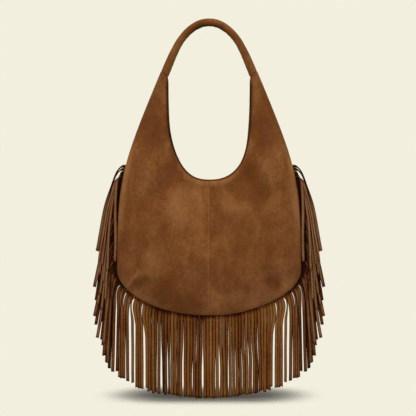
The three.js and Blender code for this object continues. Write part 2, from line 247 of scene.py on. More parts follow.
def bezier(a, b, c, d, steps=500):
    """Cubic Bezier curve from four points: the cubic Bernstein sum at even steps."""
    t = np.linspace(0.0, 1.0, steps)[:, None]
    s = 1.0 - t
    return s**3 * a + 3 * s * s * t * b + 3 * s * t * t * c + t**3 * d


class Line:
    """A plane curve read by its share of length, by interpolation along a fine polyline."""

    def __init__(self, *parts):
        self.points = np.concatenate(parts)
        step = np.linalg.norm(np.diff(self.points, axis=0), axis=1)
        run = np.concatenate([[0.0], np.cumsum(step)])
        self.length = run[-1]
        self.share = run / run[-1]

    def at(self, share):
        """Points at shares of the length."""
        x = np.interp(share, self.share, self.points[:, 0])
        z = np.interp(share, self.share, self.points[:, 1])
        return np.stack([x, z], axis=-1)

    def tangent(self, share):
        """Unit tangents at shares of the length, from a small step to either side."""
        reach = 0.002
        ahead = self.at(np.clip(share + reach, 0, 1)) - self.at(np.clip(share - reach, 0, 1))
        return ahead / np.linalg.norm(ahead, axis=-1, keepdims=True)


def linear(hex_colour):
    """sRGB hex colour as linear red, green, blue and alpha."""
    srgb = np.array([int(hex_colour[i : i + 2], 16) for i in (1, 3, 5)]) / 255.0
    low = srgb / 12.92
    high = ((srgb + 0.055) / 1.055) ** 2.4
    return (*np.where(srgb <= 0.04045, low, high).tolist(), 1.0)


def tube_faces(rings, corners):
    """Faces of a closed tube of points numbered ring by ring: quads and two ends."""
    loop = np.arange(rings * corners).reshape(rings, corners)
    ahead = np.roll(loop, -1, axis=1)
    quads = np.stack([loop[:-1], ahead[:-1], ahead[1:], loop[1:]], axis=-1).reshape(-1, 4)
    return [tuple(f) for f in quads] + [tuple(loop[0, ::-1]), tuple(loop[-1])]


def outward(points, faces):
    """Faces turned so that the closed shape's signed volume is positive."""
    fan = [(f[0], f[k], f[k + 1]) for f in faces for k in range(1, len(f) - 1)]
    a, b, c = (points[np.array(fan)[:, i]] for i in range(3))
    volume = np.einsum("ij,ij->i", a, np.cross(b, c)).sum()
    return faces if volume > 0 else [tuple(reversed(f)) for f in faces]


def shell(grid):
    """Points and faces of a closed shell from rows of points: rows close, both ends are capped."""
    loop = np.arange(grid[..., 0].size).reshape(grid.shape[:2])
    below = np.roll(loop, -1, axis=0)
    quads = np.stack([loop[:, :-1], loop[:, 1:], below[:, 1:], below[:, :-1]], axis=-1)
    faces = [tuple(f) for f in quads.reshape(-1, 4)]
    faces += [tuple(loop[:, 0]), tuple(loop[::-1, -1])]
    points = grid.reshape(-1, 3)
    return points, outward(points, faces)


def settled(points):
    """The points with the bag's own slack: small lifts and sags, each a bell or a smooth step.

    The arch sags and spreads at its top, the mouth sags more on the left than on the right, and
    the base is drawn up a little, most of all at its right corner.
    """
    x, z = points[:, 0], points[:, 2]
    spread = ARCH_SPREAD * bell(z, -20, 24) * np.clip(x / 40, -1, 1)
    arch = -ARCH_SAG * smooth(z, -36, -2)
    sag = MOUTH_SAG_LEFT * bell(x, -27, 24) + MOUTH_SAG_RIGHT * bell(x, 22, 26)
    mouth = -sag * bell(z, -288, 34)
    base = (BASE_LIFT + CORNER_LIFT * bell(x, 112, 46)) * smooth(-z, 420, 520)
    moved = points.copy()
    moved[:, 0] += spread
    moved[:, 2] += arch + mouth + base
    return moved


def linked(name, data):
    """A new object, linked into the scene."""
    made = bpy.data.objects.new(name, data)
    bpy.context.scene.collection.objects.link(made)
    return made


def piece(name, points, faces, material, slot, nodes, **attributes):
    """A smooth mesh from points in millimetres, riding on the bag and replacing its CAD nodes."""
    mesh = bpy.data.meshes.new(name)
    points = settled(points) * MM
    mesh.from_pydata(points.tolist(), [], [tuple(map(int, f)) for f in faces])
    for key, values in attributes.items():
        layer = mesh.attributes.new(key, "FLOAT", "POINT")
        layer.data.foreach_set("value", np.ascontiguousarray(values, dtype=np.float32))
    mesh.polygons.foreach_set("use_smooth", np.ones(len(mesh.polygons), dtype=bool))
    mesh.materials.append(material)
    mesh.validate()
    mesh.update()
    made = linked(name, mesh)
    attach(made, BODY)
    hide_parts(*nodes)
    return made


def add(tree, kind, inputs=None, **settings):
    """Adds a shader node of a kind. An input is a value, or the socket linked to it."""
    node = tree.nodes.new("ShaderNode" + kind)
    for key, value in settings.items():
        setattr(node, key, value)
    for key, value in (inputs or {}).items():
        if isinstance(value, bpy.types.NodeSocket):
            tree.links.new(value, node.inputs[key])
        else:
            node.inputs[key].default_value = value
    return node


def maths(tree, operation, *inputs, kind="Math"):
    """First result of a maths node, with its inputs in order."""
    return add(tree, kind, dict(enumerate(inputs)), operation=operation).outputs[0]


def map_range(tree, value, source, target, steps="LINEAR"):
    """A value carried from one range to another, and kept within it."""
    keys = ("Value", "From Min", "From Max", "To Min", "To Max")
    inputs = dict(zip(keys, (value, *source, *target)))
    return add(tree, "MapRange", inputs, interpolation_type=steps).outputs[0]


def tinted(tree, factor, colour, tint):
    """A colour multiplied by a tint, as far as the factor says."""
    inputs = {"Factor": factor, "A": colour, "B": tint}
    blend = add(tree, "Mix", inputs, data_type="RGBA", blend_type="MULTIPLY")
    return blend.outputs["Result"]


def noise(tree, place, size, detail, roughness=0.5):
    """Noise from 0 to 1, in lumps of a size in millimetres."""
    inputs = {"Vector": place, "Scale": 1 / (size * MM), "Detail": detail, "Roughness": roughness}
    return add(tree, "TexNoise", inputs).outputs["Fac"]


def bumped(tree, height, strength, distance):
    """Normals tilted by a height of so many millimetres."""
    inputs = {"Height": height, "Strength": strength, "Distance": distance * MM}
    return add(tree, "Bump", inputs).outputs["Normal"]


def new_material(name):
    """An empty node material with its output, ready for nodes."""
    material = bpy.data.materials.new(name)
    material.use_nodes = True
    material.node_tree.nodes.clear()
    return material, material.node_tree


# Materials. Sizes are millimetres, and a weight is a share of the tone.

NAP_WEIGHT = 0.5
PATCH_WEIGHT = 0.5
PATCH_DETAIL = 2.0
PATCH_STRETCH = (1.0, 1.0, 0.55)
TUFT_SIZE = 7.0
TUFT_WEIGHT = 0.28
FIBRE_SIZE = 2.4
FIBRE_WEIGHT = 0.46
FIBRE_DETAIL = 3.0
ROUGHNESS = 0.6
TONE_STOPS = (0.0, 0.2, 0.5, 0.85)
DYE_PATCH = 48.0
DYE_UPTAKE = 0.22
DYE_TINT = "#ffeeb8"
SHEEN_TINT = "#b98a5e"
TUFT_HEIGHT = 0.5
YARN_HEIGHT = 0.3
WAVE_RADIANS = 20.0


def suede_material(name, colours, patch, sheen):
    """Suede, split hide buffed to a nap.

    It has almost no gloss. The nap lies in soft patches, a little longer than wide, that turn
    lighter or darker with the way they were last brushed, with tufts and fibres over them. A
    sheen of fibre ends lightens what turns away. The hide took its dye unevenly, so some parts
    are warmer, and the attribute dye adds to that. A point attribute of nap tone with painted
    light and shade shifts the tone, which runs through four colours: a burnished edge, dark,
    middle and light.
    """
    material, tree = new_material(name)
    place = add(tree, "TexCoord").outputs["Object"]
    stretched = {"Vector": place, "Scale": PATCH_STRETCH}
    hung = add(tree, "Mapping", stretched).outputs[0]
    patches = noise(tree, hung, patch, PATCH_DETAIL, ROUGHNESS)
    tufts = noise(tree, place, TUFT_SIZE, FIBRE_DETAIL, ROUGHNESS)
    fibres = noise(tree, place, FIBRE_SIZE, FIBRE_DETAIL, ROUGHNESS)
    level = 0.5 - (PATCH_WEIGHT + TUFT_WEIGHT + FIBRE_WEIGHT) / 2
    nap = add(tree, "Attribute", attribute_name="nap").outputs["Fac"]
    tone = maths(tree, "MULTIPLY_ADD", nap, NAP_WEIGHT, level)
    for layer, weight in ((patches, PATCH_WEIGHT), (tufts, TUFT_WEIGHT), (fibres, FIBRE_WEIGHT)):
        tone = maths(tree, "MULTIPLY_ADD", layer, weight, tone)
    ramp = add(tree, "ValToRGB", {"Fac": tone})
    stops = ramp.color_ramp.elements
    for position in TONE_STOPS[1:-1]:
        stops.new(position)
    for stop, position, colour in zip(stops, TONE_STOPS, colours):
        stop.position = position
        stop.color = linear(colour)
    uptake = map_range(tree, noise(tree, place, DYE_PATCH, 2.0), (0.42, 0.66), (0.0, DYE_UPTAKE))
    own_dye = add(tree, "Attribute", attribute_name="dye").outputs["Fac"]
    dyed = maths(tree, "ADD", uptake, own_dye)
    height = maths(tree, "MULTIPLY_ADD", tufts, 0.6, fibres)
    surface = {
        "Base Color": tinted(tree, dyed, ramp.outputs["Color"], linear(DYE_TINT)),
        "Normal": bumped(tree, height, 0.35, TUFT_HEIGHT),
        "Roughness": 0.95,
        "IOR": 1.4,
        "Specular IOR Level": 0.12,
        "Sheen Weight": sheen,
        "Sheen Roughness": 0.5,
        "Sheen Tint": linear(SHEEN_TINT),
    }
    shader = add(tree, "BsdfPrincipled", surface)
    add(tree, "OutputMaterial", {"Surface": shader.outputs[0]})
    return material


def cotton_material(name, warp, weft, thread):
    """Plain woven cotton, matt and even: threads over and under, thread millimetres apart."""
    material, tree = new_material(name)
    place = add(tree, "TexCoord").outputs["Object"]
    per_thread = np.pi / (thread * MM) / WAVE_RADIANS
    wave = {"Vector": place, "Scale": per_thread, "Distortion": 0.4, "Detail": 1.0}
    across = add(tree, "TexWave", wave, bands_direction="X").outputs["Fac"]
    upward = add(tree, "TexWave", wave, bands_direction="Z").outputs["Fac"]
    weave = maths(tree, "MULTIPLY", across, upward)
    ramp = add(tree, "ValToRGB", {"Fac": weave})
    ramp.color_ramp.elements[0].color = linear(weft)
    ramp.color_ramp.elements[1].color = linear(warp)
    surface = {
        "Base Color": ramp.outputs["Color"],
        "Normal": bumped(tree, weave, 0.3, YARN_HEIGHT),
        "Roughness": 0.9,
        "Specular IOR Level": 0.2,
    }
    shader = add(tree, "BsdfPrincipled", surface)
    add(tree, "OutputMaterial", {"Surface": shader.outputs[0]})
    return material


SUEDE_TONES = ("#2a1607", "#5a3211", "#764621", "#9c693d")
STRIP_TONES = ("#280e02", "#4c2307", "#7a4f2f", "#997250")
body_suede = suede_material("buffed_suede", SUEDE_TONES, 26.0, 0.2)
strip_suede = suede_material("cut_suede_strips", STRIP_TONES, 40.0, 0.06)
lining_cotton = cotton_material("woven_lining_cotton", "#59402b", "#3c2a1c", 0.6)
cord_cotton = cotton_material("twisted_filler_cotton", "#ddd3bf", "#bfb39a", 1.2)


# Driving curves of the right half, as the part's source gives them.

strap_down = np.array([np.sin(STRAP_ANGLE), -np.cos(STRAP_ANGLE)])
tip_across = np.array([np.cos(FOOT_SLANT), np.sin(FOOT_SLANT)])
tip_square = np.array([-np.sin(FOOT_SLANT), np.cos(FOOT_SLANT)])
tip_outer = HANDLE_FOOT + tip_across * TIP_WIDTH / 2
tip_inner = HANDLE_FOOT - tip_across * TIP_WIDTH / 2

side_curve = bezier(tip_outer, tip_outer + strap_down * STRAP_PULL, HIP + (0, HIP_PULL), HIP)
corner_curve = bezier(HIP, HIP - (0, CORNER_PULL), BOTTOM + (BASE_PULL, 0), BOTTOM)
outer_seam = Line(side_curve, corner_curve[1:])
mouth_side = tip_inner + (MOUTH_FLARE, -MOUTH_SIDE_PULL)
mouth_base = MOUTH_BOTTOM + (MOUTH_BASE_PULL, 0)
mouth_line = Line(bezier(tip_inner, mouth_side, mouth_base, MOUTH_BOTTOM))
handle_top = np.array([0.0, HANDLE_RADIUS])
handle_over = handle_top + (HANDLE_TOP_PULL, 0)
handle_down = HANDLE_FOOT - strap_down * HANDLE_FOOT_PULL
handle_line = Line(bezier(handle_top, handle_over, handle_down, HANDLE_FOOT))


# Suede pouch.


def fullness(across, down):
    """Half depth of the pouch before it rounds over: the lip's at the mouth, then the belly's."""
    lip = mix(SHOULDER_DEPTH, LIP_DEPTH, smooth(down, 0.15, 1.0))
    belly = mix(SHOULDER_DEPTH, BELLY_DEPTH, smooth(down, 0.05, 0.8))
    return mix(lip, belly, smooth(across, 0.0, 0.75))


def round_over(across):
    """Square root of one less the fourth power: level at first, and upright at the seam."""
    return np.sqrt(np.clip(1.0 - across**4, 0.0, 1.0))


def seam_half_gap(down):
    """Half the gap between the panels at the seam, wider where the fringe is caught in it."""
    start = 1.0 - FRINGE_SEAM / outer_seam.length
    return mix(SEWN_HALF_GAP, SEAM_HALF_GAP, smooth(down, start - 0.08, start - 0.04))


def pouch_face(across, down):
    """Inner face of the suede, as x, half depth and z.

    A point lies on the straight line from the mouth to the seam at the same share of length.
    Its half depth is the fullness times the round over, and near the shoulder's tip it turns
    into half a circle as wide as the handle.
    """
    mouth = mouth_line.at(down)
    flat = mouth + (outer_seam.at(down) - mouth) * across[..., None]
    tube = (HANDLE_RADIUS - SUEDE) * np.sqrt(np.clip(1 - (2 * across - 1) ** 2, 0, 1))
    open_depth = fullness(across, down) * round_over(across)
    depth = seam_half_gap(down) + mix(tube, open_depth, smooth(down, 0.0, TIP_ROUND_SHARE))
    return np.stack([flat[..., 0], depth, flat[..., 1]], axis=-1)


def normals(face, across, down):
    """Unit normals of a face of two shares, from the cross product of its two small steps."""
    reach = 2e-4
    a0, a1 = across - reach, np.minimum(across + reach, 1)
    d0, d1 = np.clip(down - reach, 0, 1), np.clip(down + reach, 0, 1)
    cross = np.cross(face(a1, down) - face(a0, down), face(across, d1) - face(across, d0))
    return cross / np.linalg.norm(cross, axis=-1, keepdims=True)


def fold(x, z, start, end, width, height):
    """A soft ridge, or a hollow where height is negative: a bell of the distance to a line."""
    start, end = np.array(start), np.array(end)
    run = end - start
    along = (x - start[0]) * run[0] + (z - start[1]) * run[1]
    share = np.clip(along / (run @ run), 0, 1)
    gap = np.hypot(x - start[0] - share * run[0], z - start[1] - share * run[1])
    return height * bell(gap, 0, width)


def folds(x, z, lines):
    """Sum of several folds."""
    return sum(fold(x, z, *line) for line in lines)


# Folds of the suede: both ends as x and z, width and height.

FRONT_FOLDS = (
    # Hollows below the mouth.
    ((-66, -262), (-98, -325), 15, -5.0),
    ((67, -262), (103, -318), 15, -5.5),
    # Creases at the corners, with a dip beside each.
    ((-137, -461), (-153, -490), 2.6, 2.4),
    ((139, -489), (156, -498), 2.4, 1.8),
    ((-122, -480), (-138, -492), 9, -3.6),
    ((118, -484), (136, -492), 9, -3.2),
    # A short pleat beside the centre seam.
    ((-10.9, -313), (-10.6, -332), 1.6, -0.7),
)
BACK_FOLDS = (
    ((-64, -264), (-104, -328), 16, -4.5),
    ((62, -264), (106, -326), 16, -4.5),
)

# Lighter and darker patches of the front's tone, some of them painted light and shade: both
# ends, width and tone, darker below 0.

FRONT_TONE_LIGHT_AND_SHADE = (
    # Belly, under the mouth and down to the base.
    ((-64, -326), (-36, -338), 34, 0.48),
    ((-40, -310), (-10, -312), 12, 0.2),
    ((-114, -292), (-126, -300), 18, 0.18),
    ((122, -290), (142, -354), 22, 0.2),
    ((-112, -438), (-150, -500), 24, 0.26),
    ((84, -445), (92, -460), 22, 0.14),
    ((138, -368), (146, -480), 24, 0.16),
    ((-110, -434), (-98, -458), 14, 0.3),
    ((4, -522), (100, -512), 24, 0.32),
    ((-140, -512), (-92, -538), 12, 0.26),
    ((152, -490), (138, -514), 12, 0.3),
    ((-38, -380), (-30, -425), 36, 0.16),
    ((36, -333), (62, -343), 22, 0.3),
    ((-22, -346), (-10, -352), 16, -0.2),
    ((-90, -505), (-40, -525), 30, -0.26),
    # Painted highlight on the creases at the corners, and painted shade in the dips beside them.
    ((-133, -462), (-155, -492), 2.6, 0.5),
    ((136, -486), (155, -499), 2.4, 0.4),
    ((-120, -480), (-146, -494), 9, -0.42),
    ((112, -482), (132, -490), 9, -0.22),
    # Painted highlight along the centre seam, and painted shade in the pleat beside it.
    ((-0.8, -300), (-0.8, -545), 1.2, 0.3),
    ((-10.9, -313), (-10.6, -332), 1.5, -0.4),
    # Horns.
    ((-81, -104), (-82, -138), 10, 0.26),
    ((84, -102), (84, -136), 10, 0.26),
    ((-80, -224), (-75, -250), 9, 0.26),
    ((76, -222), (68, -250), 9, 0.34),
    ((-128, -236), (-112, -256), 24, 0.25),
    ((128, -236), (112, -256), 24, 0.25),
    ((-104, -186), (-111, -214), 20, -0.28),
    ((97, -186), (106, -214), 20, -0.26),
    # Painted shade in the hollows below the mouth.
    ((-76, -304), (-80, -322), 12, -0.22),
    ((-66, -262), (-98, -325), 16, -0.12),
    ((73, -276), (103, -318), 15, -0.27),
)


def relief(x, z, front):
    """How far the suede stands out of its plain form: low slack waves, and its folds."""
    if front:
        waves = 0.5 * np.sin(x / 17 + z / 29) * np.sin(z / 23 - x / 41 + 1.3)
        return waves + folds(x, z, FRONT_FOLDS)
    waves = 0.6 * np.sin(x / 19 - z / 31 + 0.7) * np.sin(z / 27 + x / 37)
    return waves + folds(x, z, BACK_FOLDS)


def centre_seam(x):
    """The lap of the left half over the right: a low ridge on one side, a groove on the other."""
    lap = LAP_HEIGHT * bell(x, 0, 2.2)
    groove = -LAP_GROOVE * bell(x, 0, 2.6)
    return np.where(x < 0, lap, groove)


def slope_across(line, tangent):
    """Sine of the angle between the lines from mouth to seam and an edge's tangents."""
    cross = line[..., 0] * tangent[..., 1] - line[..., 1] * tangent[..., 0]
    return np.abs(cross) / np.linalg.norm(line, axis=-1)


def lip_inset(down):
    """How far the front lip lies back from the mouth, so that the dark inside shows past it."""
    inset = mix(LIP_INSET_SIDE, LIP_INSET_MIDDLE, smooth(down, 0.3, 1.0))
    return inset * smooth(down, 0.01, 0.08)


def mouth_shift(down, right):
    """How far the mouth's lower half has slipped to the right, taken square to its edge."""
    square = np.abs(mouth_line.tangent(down)[:, 1])
    return (MOUTH_SHIFT if right else -MOUTH_SHIFT) * square * smooth(down, 0.36, 0.72)


# Painted light and shade on a panel's nap, lighter above 0 and darker below.

HORN_LIP_PAINTED_SHADE = -0.42
RIM_PAINTED_HIGHLIGHT = 0.42
SIDE_EDGE_PAINTED_LIGHT = 0.74
BASE_EDGE_PAINTED_LIGHT = 0.34
BACK_PAINTED_LIGHT_SHARE = 0.5
LIP_PAINTED_SHADE = -0.55
INSIDE_PAINTED_SHADE = -0.6
EDGE_DARK = -0.75
SIDE_SEWN_EDGE_PAINTED_LIGHT = 0.3


def panel_light_and_shade(across, down, from_lip, front):
    """How painted light and shade shift a panel's nap, by the rows of its section.

    Painted shade darkens the lip along the horn. A painted highlight lightens the rim under the
    mouth, and painted light the edges at the side and the base, a little unevenly. The inside
    carries painted shade. The sewn edge is darker, except at the side, where it carries
    painted light.
    """
    on_horn = fade(down, 0.32, 0.6)
    at_side = smooth(down, 0.24, 0.33) * fade(down, 0.46, 0.62)
    at_base = smooth(down, 0.62, 0.78)
    # Painted shade on the horn's lip, a painted highlight on the rim, painted light on the edges.
    horn_lip_shade = HORN_LIP_PAINTED_SHADE * fade(from_lip, 0.5, 3.4) * on_horn
    rim_highlight = RIM_PAINTED_HIGHLIGHT * fade(from_lip, 4.5, 8.5) * smooth(down, 0.64, 0.84)
    edge_light = SIDE_EDGE_PAINTED_LIGHT * at_side * smooth(across, 0.8, 0.96)
    edge_light = edge_light + BASE_EDGE_PAINTED_LIGHT * at_base * smooth(across, 0.89, 0.99)
    uneven = 0.85 + 0.15 * np.sin(61 * down) * np.sin(23 * down + 1)
    edge_light = edge_light * uneven * (1.0 if front else BACK_PAINTED_LIGHT_SHARE)
    lip = np.tile(LIP_PAINTED_SHADE * on_horn, (len(LIP_TURNS), 1))
    inside = np.full(across.shape, INSIDE_PAINTED_SHADE)
    sewn = np.tile(mix(EDGE_DARK, SIDE_SEWN_EDGE_PAINTED_LIGHT, at_side), (len(EDGE_TURNS), 1))
    return np.concatenate([(horn_lip_shade + rim_highlight + edge_light)[::-1], lip, inside, sewn])


def panel(front, right):
    """A quarter of the pouch as a closed shell.

    Its section runs down the outer face, round the lip, back along the inner face with its
    hem, and round the sewn edge. The section is carried from the shoulder's tip to the centre.
    """
    down = np.concatenate([np.linspace(0.0, 0.98, PANEL_COLUMNS), 1.0 - CENTRE_COLUMNS])
    steps = np.sin(np.linspace(0.0, np.pi / 2, PANEL_ROWS))
    line = outer_seam.at(down) - mouth_line.at(down)
    span = np.linalg.norm(line, axis=-1)
    margin = LIP_RADIUS + (lip_inset(down) if front else 0.0) + mouth_shift(down, right)
    start = margin / span / slope_across(line, mouth_line.tangent(down))
    first = np.minimum(START_MOST, start)
    across = first[None, :] + (1.0 - first[None, :]) * steps[:, None]
    shares = np.broadcast_to(down, across.shape)

    base = pouch_face(across, shares)
    normal = normals(pouch_face, across, shares)
    flat_tip = fade(shares, 0.0, 0.04)
    lift = normal[..., 0] * tip_square[0] + normal[..., 2] * tip_square[1]
    normal[..., 0] -= flat_tip * lift * tip_square[0]
    normal[..., 2] -= flat_tip * lift * tip_square[1]

    side = 1.0 if right else -1.0
    calm = smooth(shares, 0.02, 0.2) * smooth(1.0 - across, 0.0, 0.06)
    stand = relief(side * base[..., 0], base[..., 2], front) * calm
    stand = stand + centre_seam(side * base[..., 0]) * smooth(base[..., 2], -552, -540)
    outer = base + normal * (SUEDE + stand)[..., None]
    hem = SUEDE * smooth(shares, 0.7 * TIP_ROUND_SHARE, 1.5 * TIP_ROUND_SHARE)
    hem = hem * fade(across * span, HEM_WIDTH - 0.5, HEM_WIDTH + 0.5)
    inner = base + normal * (np.minimum(stand, 0.0) - hem)[..., None]

    middle = (outer[0] + inner[0]) / 2
    half = (outer[0] - inner[0]) / 2
    out_of_mouth = base[0] - base[1]
    out_of_mouth /= np.linalg.norm(out_of_mouth, axis=-1, keepdims=True)
    turns = LIP_TURNS[:, None, None]
    lip = middle + half * np.cos(turns) + out_of_mouth * LIP_RADIUS * np.sin(turns)

    edge_middle = (outer[-1] + inner[-1]) / 2
    edge_half = (inner[-1] - outer[-1]) / 2
    turns = EDGE_TURNS[:, None, None]
    towards_back = np.array([0.0, -EDGE_ROUND, 0.0])
    edge = edge_middle + edge_half * np.cos(turns) + towards_back * np.sin(turns)

    section = np.concatenate([outer[::-1], lip, inner, edge])
    points, faces = shell(section * (side, -1.0 if front else 1.0, 1.0))
    name = f"{'front' if front else 'back'}_{'right' if right else 'left'}"
    # Tone patches, and painted light and shade, in one point attribute.
    wear_light_and_shade = panel_light_and_shade(across, down, (across - first) * span, front)
    nap = tone_light_and_shade(points[:, 0], points[:, 2], front) + wear_light_and_shade.reshape(-1)
    return piece(f"{name}_suede", points, faces, body_suede, "suede", [f"{name}_panel"], nap=nap)


def tone_light_and_shade(x, z, front):
    """Broad patches of lighter and darker tone, some painted light and shade, lighter above 0
    and darker below.
    """
    if front:
        return folds(x, z, FRONT_TONE_LIGHT_AND_SHADE)
    return 0.2 * np.sin(x / 47 + 0.4) * np.sin(z / 61)


for is_front in (True, False):
    for is_right in (False, True):
        panel(is_front, is_right)


# Lining.


def lining_face(across, down):
    """Outer face of the lining: the pouch's form with some ease, drawn in to its own seam."""
    mouth = mouth_line.at(down)
    seam = outer_seam.at(down)
    line = seam - mouth
    span = np.linalg.norm(line, axis=-1)
    slope = slope_across(line, outer_seam.tangent(down))
    drawn = np.clip(across / (1.0 - LINING_INSET / slope / span), 0.0, 1.0)
    flat = mouth + line * across[..., None]
    depth = SEWN_HALF_GAP + (fullness(across, down) - LINING_EASE) * round_over(drawn)
    return np.stack([flat[..., 0], depth, flat[..., 1]], axis=-1)


def lining_sheet(front):
    """One side of the lining: the outer face, and the same moved in by the cloth's thickness."""
    down = np.linspace(LINING_TOP_SHARE, 1.0, LINING_COLUMNS)
    line = outer_seam.at(down) - mouth_line.at(down)
    span = np.linalg.norm(line, axis=-1)
    start = (HEM_WIDTH + HEM_CLEARANCE) / slope_across(line, mouth_line.tangent(down)) / span
    start = np.minimum(START_MOST, start)
    end = 1.0 - LINING_INSET / slope_across(line, outer_seam.tangent(down)) / span
    steps = np.sin(np.linspace(0.0, np.pi / 2, LINING_ROWS))[:, None]
    across = start + (end - start) * steps
    shares = np.broadcast_to(down, across.shape)
    face = lining_face(across, shares)
    normal = normals(lining_face, across, shares)
    halves = []
    for side in (1.0, -1.0):
        pressed = np.minimum(relief(side * face[..., 0], face[..., 2], front), 0.0)[..., None]
        mirror = np.array([side, 1.0, 1.0])
        halves.append([(face + normal * (pressed - depth)) * mirror for depth in (0.0, LINING)])
    outside, inside = (np.concatenate([a, b[:, -2::-1]], axis=1) for a, b in zip(*halves))
    sheet = np.concatenate([outside, inside[::-1]])
    points, faces = shell(sheet * (1.0, -1.0 if front else 1.0, 1.0))
    name = "front_lining" if front else "back_lining"
    return piece(f"{name}_cloth", points, faces, lining_cotton, "lining_cotton", [name])


for is_front in (True, False):
    cloth = lining_sheet(is_front)


# Handle.


def handle_cover():
    """Rolled suede cover: a ring carried along the arch, with a sewn groove along its underside.

    The rings swell a little and slant towards each foot, to lie along the shoulder's tip. At each
    end the cover turns in and is tucked into the shoulder. Its underside carries painted shade,
    most at the top of the arch, and so does its outer side. Its limbs are a little lighter, and
    the joint at the left is darker than the one at the right.
    """
    share = np.linspace(-1.0, 1.0, HANDLE_STATIONS)
    from_top = np.abs(share)
    reach = handle_line.length
    tangent = handle_line.tangent(from_top)
    across = np.stack([-tangent[:, 1], tangent[:, 0]], axis=-1)
    stations = np.arange(HANDLE_STATIONS)
    end_step = np.minimum(stations, stations[::-1])
    tucked = np.where(end_step == 0, TUCK, 0.0)[:, None]
    centre = handle_line.at(from_top) + tangent * tucked
    near_foot = np.clip(1.0 - reach * (1.0 - from_top) / FOOT_SLANT_LENGTH, 0.0, 1.0)
    slope = np.tan((FOOT_SLANT - STRAP_ANGLE) * near_foot)

    angle = np.linspace(0.0, 2 * np.pi, HANDLE_TURNS, endpoint=False)
    from_seam = np.abs((angle - HANDLE_SEAM + np.pi) % (2 * np.pi) - np.pi)
    groove = GROOVE_SHOULDER * bell(from_seam, 0, 0.45) - GROOVE_DEPTH * bell(from_seam, 0, 0.12)
    along = share[:, None] * reach
    wrinkle = np.sin(along / 2.1 + 1.7 * np.sin(along / 9.0)) * bell(from_seam, 0, 0.9)
    slack = np.sin(along / 13.0 + 2 * angle) * np.sin(along / 7.0 - angle)
    swell = HANDLE_SWELL * smooth(from_top, 0.45, 1.0)
    waist = HANDLE_WAIST * bell(from_top, 0.58, 0.15)
    turned_in = np.select([end_step == 0, end_step == 1], TURNED_IN, 0.0)
    radius = (HANDLE_RADIUS - HANDLE_ROOM + swell - waist - turned_in)[:, None]
    radius = radius + groove + WRINKLE * wrinkle + HANDLE_SLACK * slack

    side = radius * np.cos(angle)
    flat = centre[:, None, :] + across[:, None, :] * side[..., None]
    flat = flat - tangent[:, None, :] * (side * slope[:, None])[..., None]
    x = flat[..., 0] * np.where(share < 0, -1.0, 1.0)[:, None]
    points = np.stack([x, radius * np.sin(angle), flat[..., 1]], axis=-1).reshape(-1, 3)
    faces = outward(points, tube_faces(HANDLE_STATIONS, HANDLE_TURNS))

    # Painted shade on the underside and the outer side, and lighter limbs.
    underside_shade = UNDERSIDE_PAINTED_SHADE * fade(from_top, 0.12, 0.5)[:, None]
    underside_shade = underside_shade * bell(from_seam, 0, 1.25)
    limbs_lighter = LIMB_LIGHTENING * smooth(from_top, 0.2, 0.6)[:, None]
    outside = OUTSIDE_PAINTED_SHADE * smooth(from_seam, 2.2, 2.9)
    joint = bell(end_step, 0, 1.2) * np.where(share < 0, LEFT_JOINT_DARK, RIGHT_JOINT_DARK)
    nap = 0.1 * np.sin(along / 15.0) - underside_shade + limbs_lighter - outside - joint[:, None]
    nodes = ["handle_cover"]
    return piece("handle_suede", points, faces, body_suede, "suede", nodes, nap=nap.reshape(-1))


handle_cover()
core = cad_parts["handle_core"]
core.data.materials.clear()
core.data.materials.append(cord_cotton)


# Fringe.


def seam_angle_at(z):
    """Angle of the seam from straight down at a height, from shoulder to hip, and 0 below."""
    share = np.linspace(0.0, 1.0, 400)
    side = Line(side_curve)
    tangent = side.tangent(share)
    angle = np.arctan2(tangent[:, 0], -tangent[:, 1])
    heights = side.at(share)[:, 1]
    return np.interp(z, heights[::-1], angle[::-1], left=0.0)


def seam_frame(run):
    """Points of the outer seam at lengths from its top, and its outward normals there."""
    share = run / outer_seam.length
    tangent = outer_seam.tangent(share)
    return outer_seam.at(share), np.stack([-tangent[:, 1], tangent[:, 0]], axis=-1)


def section_start(section):
    """How far down the outer seam a length of fringe begins."""
    return outer_seam.length - FRINGE_SEAM + section * SECTION_LENGTH


def layout(section):
    """Where the strips of a length of fringe leave the seam, and the part that each one plays.

    Strips are counted from the top. beside is 1 next to the pouch and 0 below it, layered is 1
    where strips hang in layers, slanting is 1 where they leave the seam at 45 degrees, and opened
    is 1 at the corner, where hooked strips stand apart. From the top, the first strips arch over
    the rest, the next is tucked behind them, and one hugs the pouch. Then comes a fan of strips
    in front, and after it every second one is in front. A few in between lie outermost.
    """
    middles = (np.arange(SECTION_STRIPS) + 0.5) * STRIP_PITCH
    root, normal = seam_frame(section_start(section) + middles)
    root_angle = np.arctan2(normal[:, 0], -normal[:, 1])[:, None]
    index = (section * SECTION_STRIPS + np.arange(SECTION_STRIPS))[:, None]
    from_top = (index + 0.5) * STRIP_PITCH
    slanting = np.clip(np.sin(2 * root_angle), 0.0, 1.0) ** 2
    hooked = smooth(root_angle, *HOOKED_FROM)
    outer = np.isin(index, OUTER_STRIPS)
    place = index - TOP_STRIPS - 1
    in_fan = place < FAN_STRIPS
    every_second = (place - FAN_STRIPS) % 2 == 1
    order = np.where(in_fan, place, (place + FAN_STRIPS) // 2)
    return SimpleNamespace(
        root=root, normal=normal, root_angle=root_angle, index=index, from_top=from_top,
        beside=fade(from_top, *LEAN_FADE),
        layered=fade(from_top, *LAYER_FADE),
        slanting=slanting,
        opened=np.where(root_angle > np.pi / 4, slanting**0.4, hooked),
        on_top=index < TOP_STRIPS,
        tucked=index == TOP_STRIPS,
        hugging=index == TOP_STRIPS + 1,
        outer=outer,
        order=np.clip(order, 0, None),
        in_front=(place >= 0) & (in_fan | every_second) & ~outer,
        turning=index % 3 == 1,
    )


